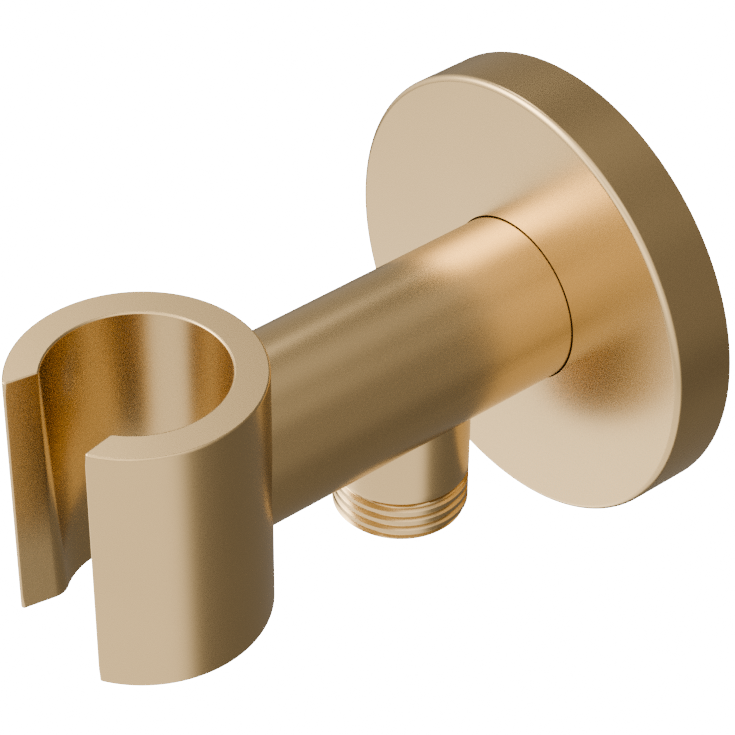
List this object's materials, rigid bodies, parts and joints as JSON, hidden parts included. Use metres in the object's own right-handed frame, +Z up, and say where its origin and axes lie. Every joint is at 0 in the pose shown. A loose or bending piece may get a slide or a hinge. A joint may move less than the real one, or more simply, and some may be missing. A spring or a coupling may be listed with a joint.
{
  "type": "hand shower holder with wall outlet",
  "caption": "Wall elbow for a shower hose with a round cover, a short round arm, a slotted cup that holds the handset, and a threaded outlet underneath.",
  "frame": {"origin": "centre of the wall connection on the wall surface", "axes": "+Z up; +Y into the wall, so the arm runs out along -Y; the hose leaves along -Z"},
  "size_m": [0.0718, 0.1095, 0.0718],
  "materials": {
    "satin_gold": "satin champagne gold coating on turned brass",
    "plain_brass": "turned brass, uncoated",
    "screw_steel": "stainless steel",
    "black_rubber": "moulded rubber",
    "white_plastic": "moulded plastic",
    "blue_plastic": "moulded plastic"
  },
  "bodies": {
    "holder": {"arm_body": "satin_gold", "holder_cup": "satin_gold", "cup_screw": "screw_steel", "wall_nipple": "plain_brass", "wall_gasket": "black_rubber", "nipple_o_ring_front": "black_rubber", "nipple_o_ring_rear": "black_rubber", "set_screw": "screw_steel", "outlet_nipple": "satin_gold", "valve_housing": "white_plastic", "valve_o_ring": "black_rubber", "valve_guide": "white_plastic", "valve_spring": "screw_steel"},
    "rosette_cover": {"rosette": "satin_gold", "rosette_o_ring": "black_rubber", "wall_seal": "black_rubber"},
    "poppet": {"valve_poppet": "blue_plastic", "valve_seal": "black_rubber"}
  },
  "joints": [
    {"name": "rosette_slide", "type": "slide", "parent": "holder", "child": "rosette_cover", "axis": [0, -1, 0], "range_m": [0, 0.0112]},
    {"name": "poppet_slide", "type": "slide", "parent": "holder", "child": "poppet", "axis": [0, 0, -1], "range_m": [0, 0.0025], "stiffness_N_per_m": 150, "springref_m": -0.003, "deforming": ["valve_spring"]}
  ]
}
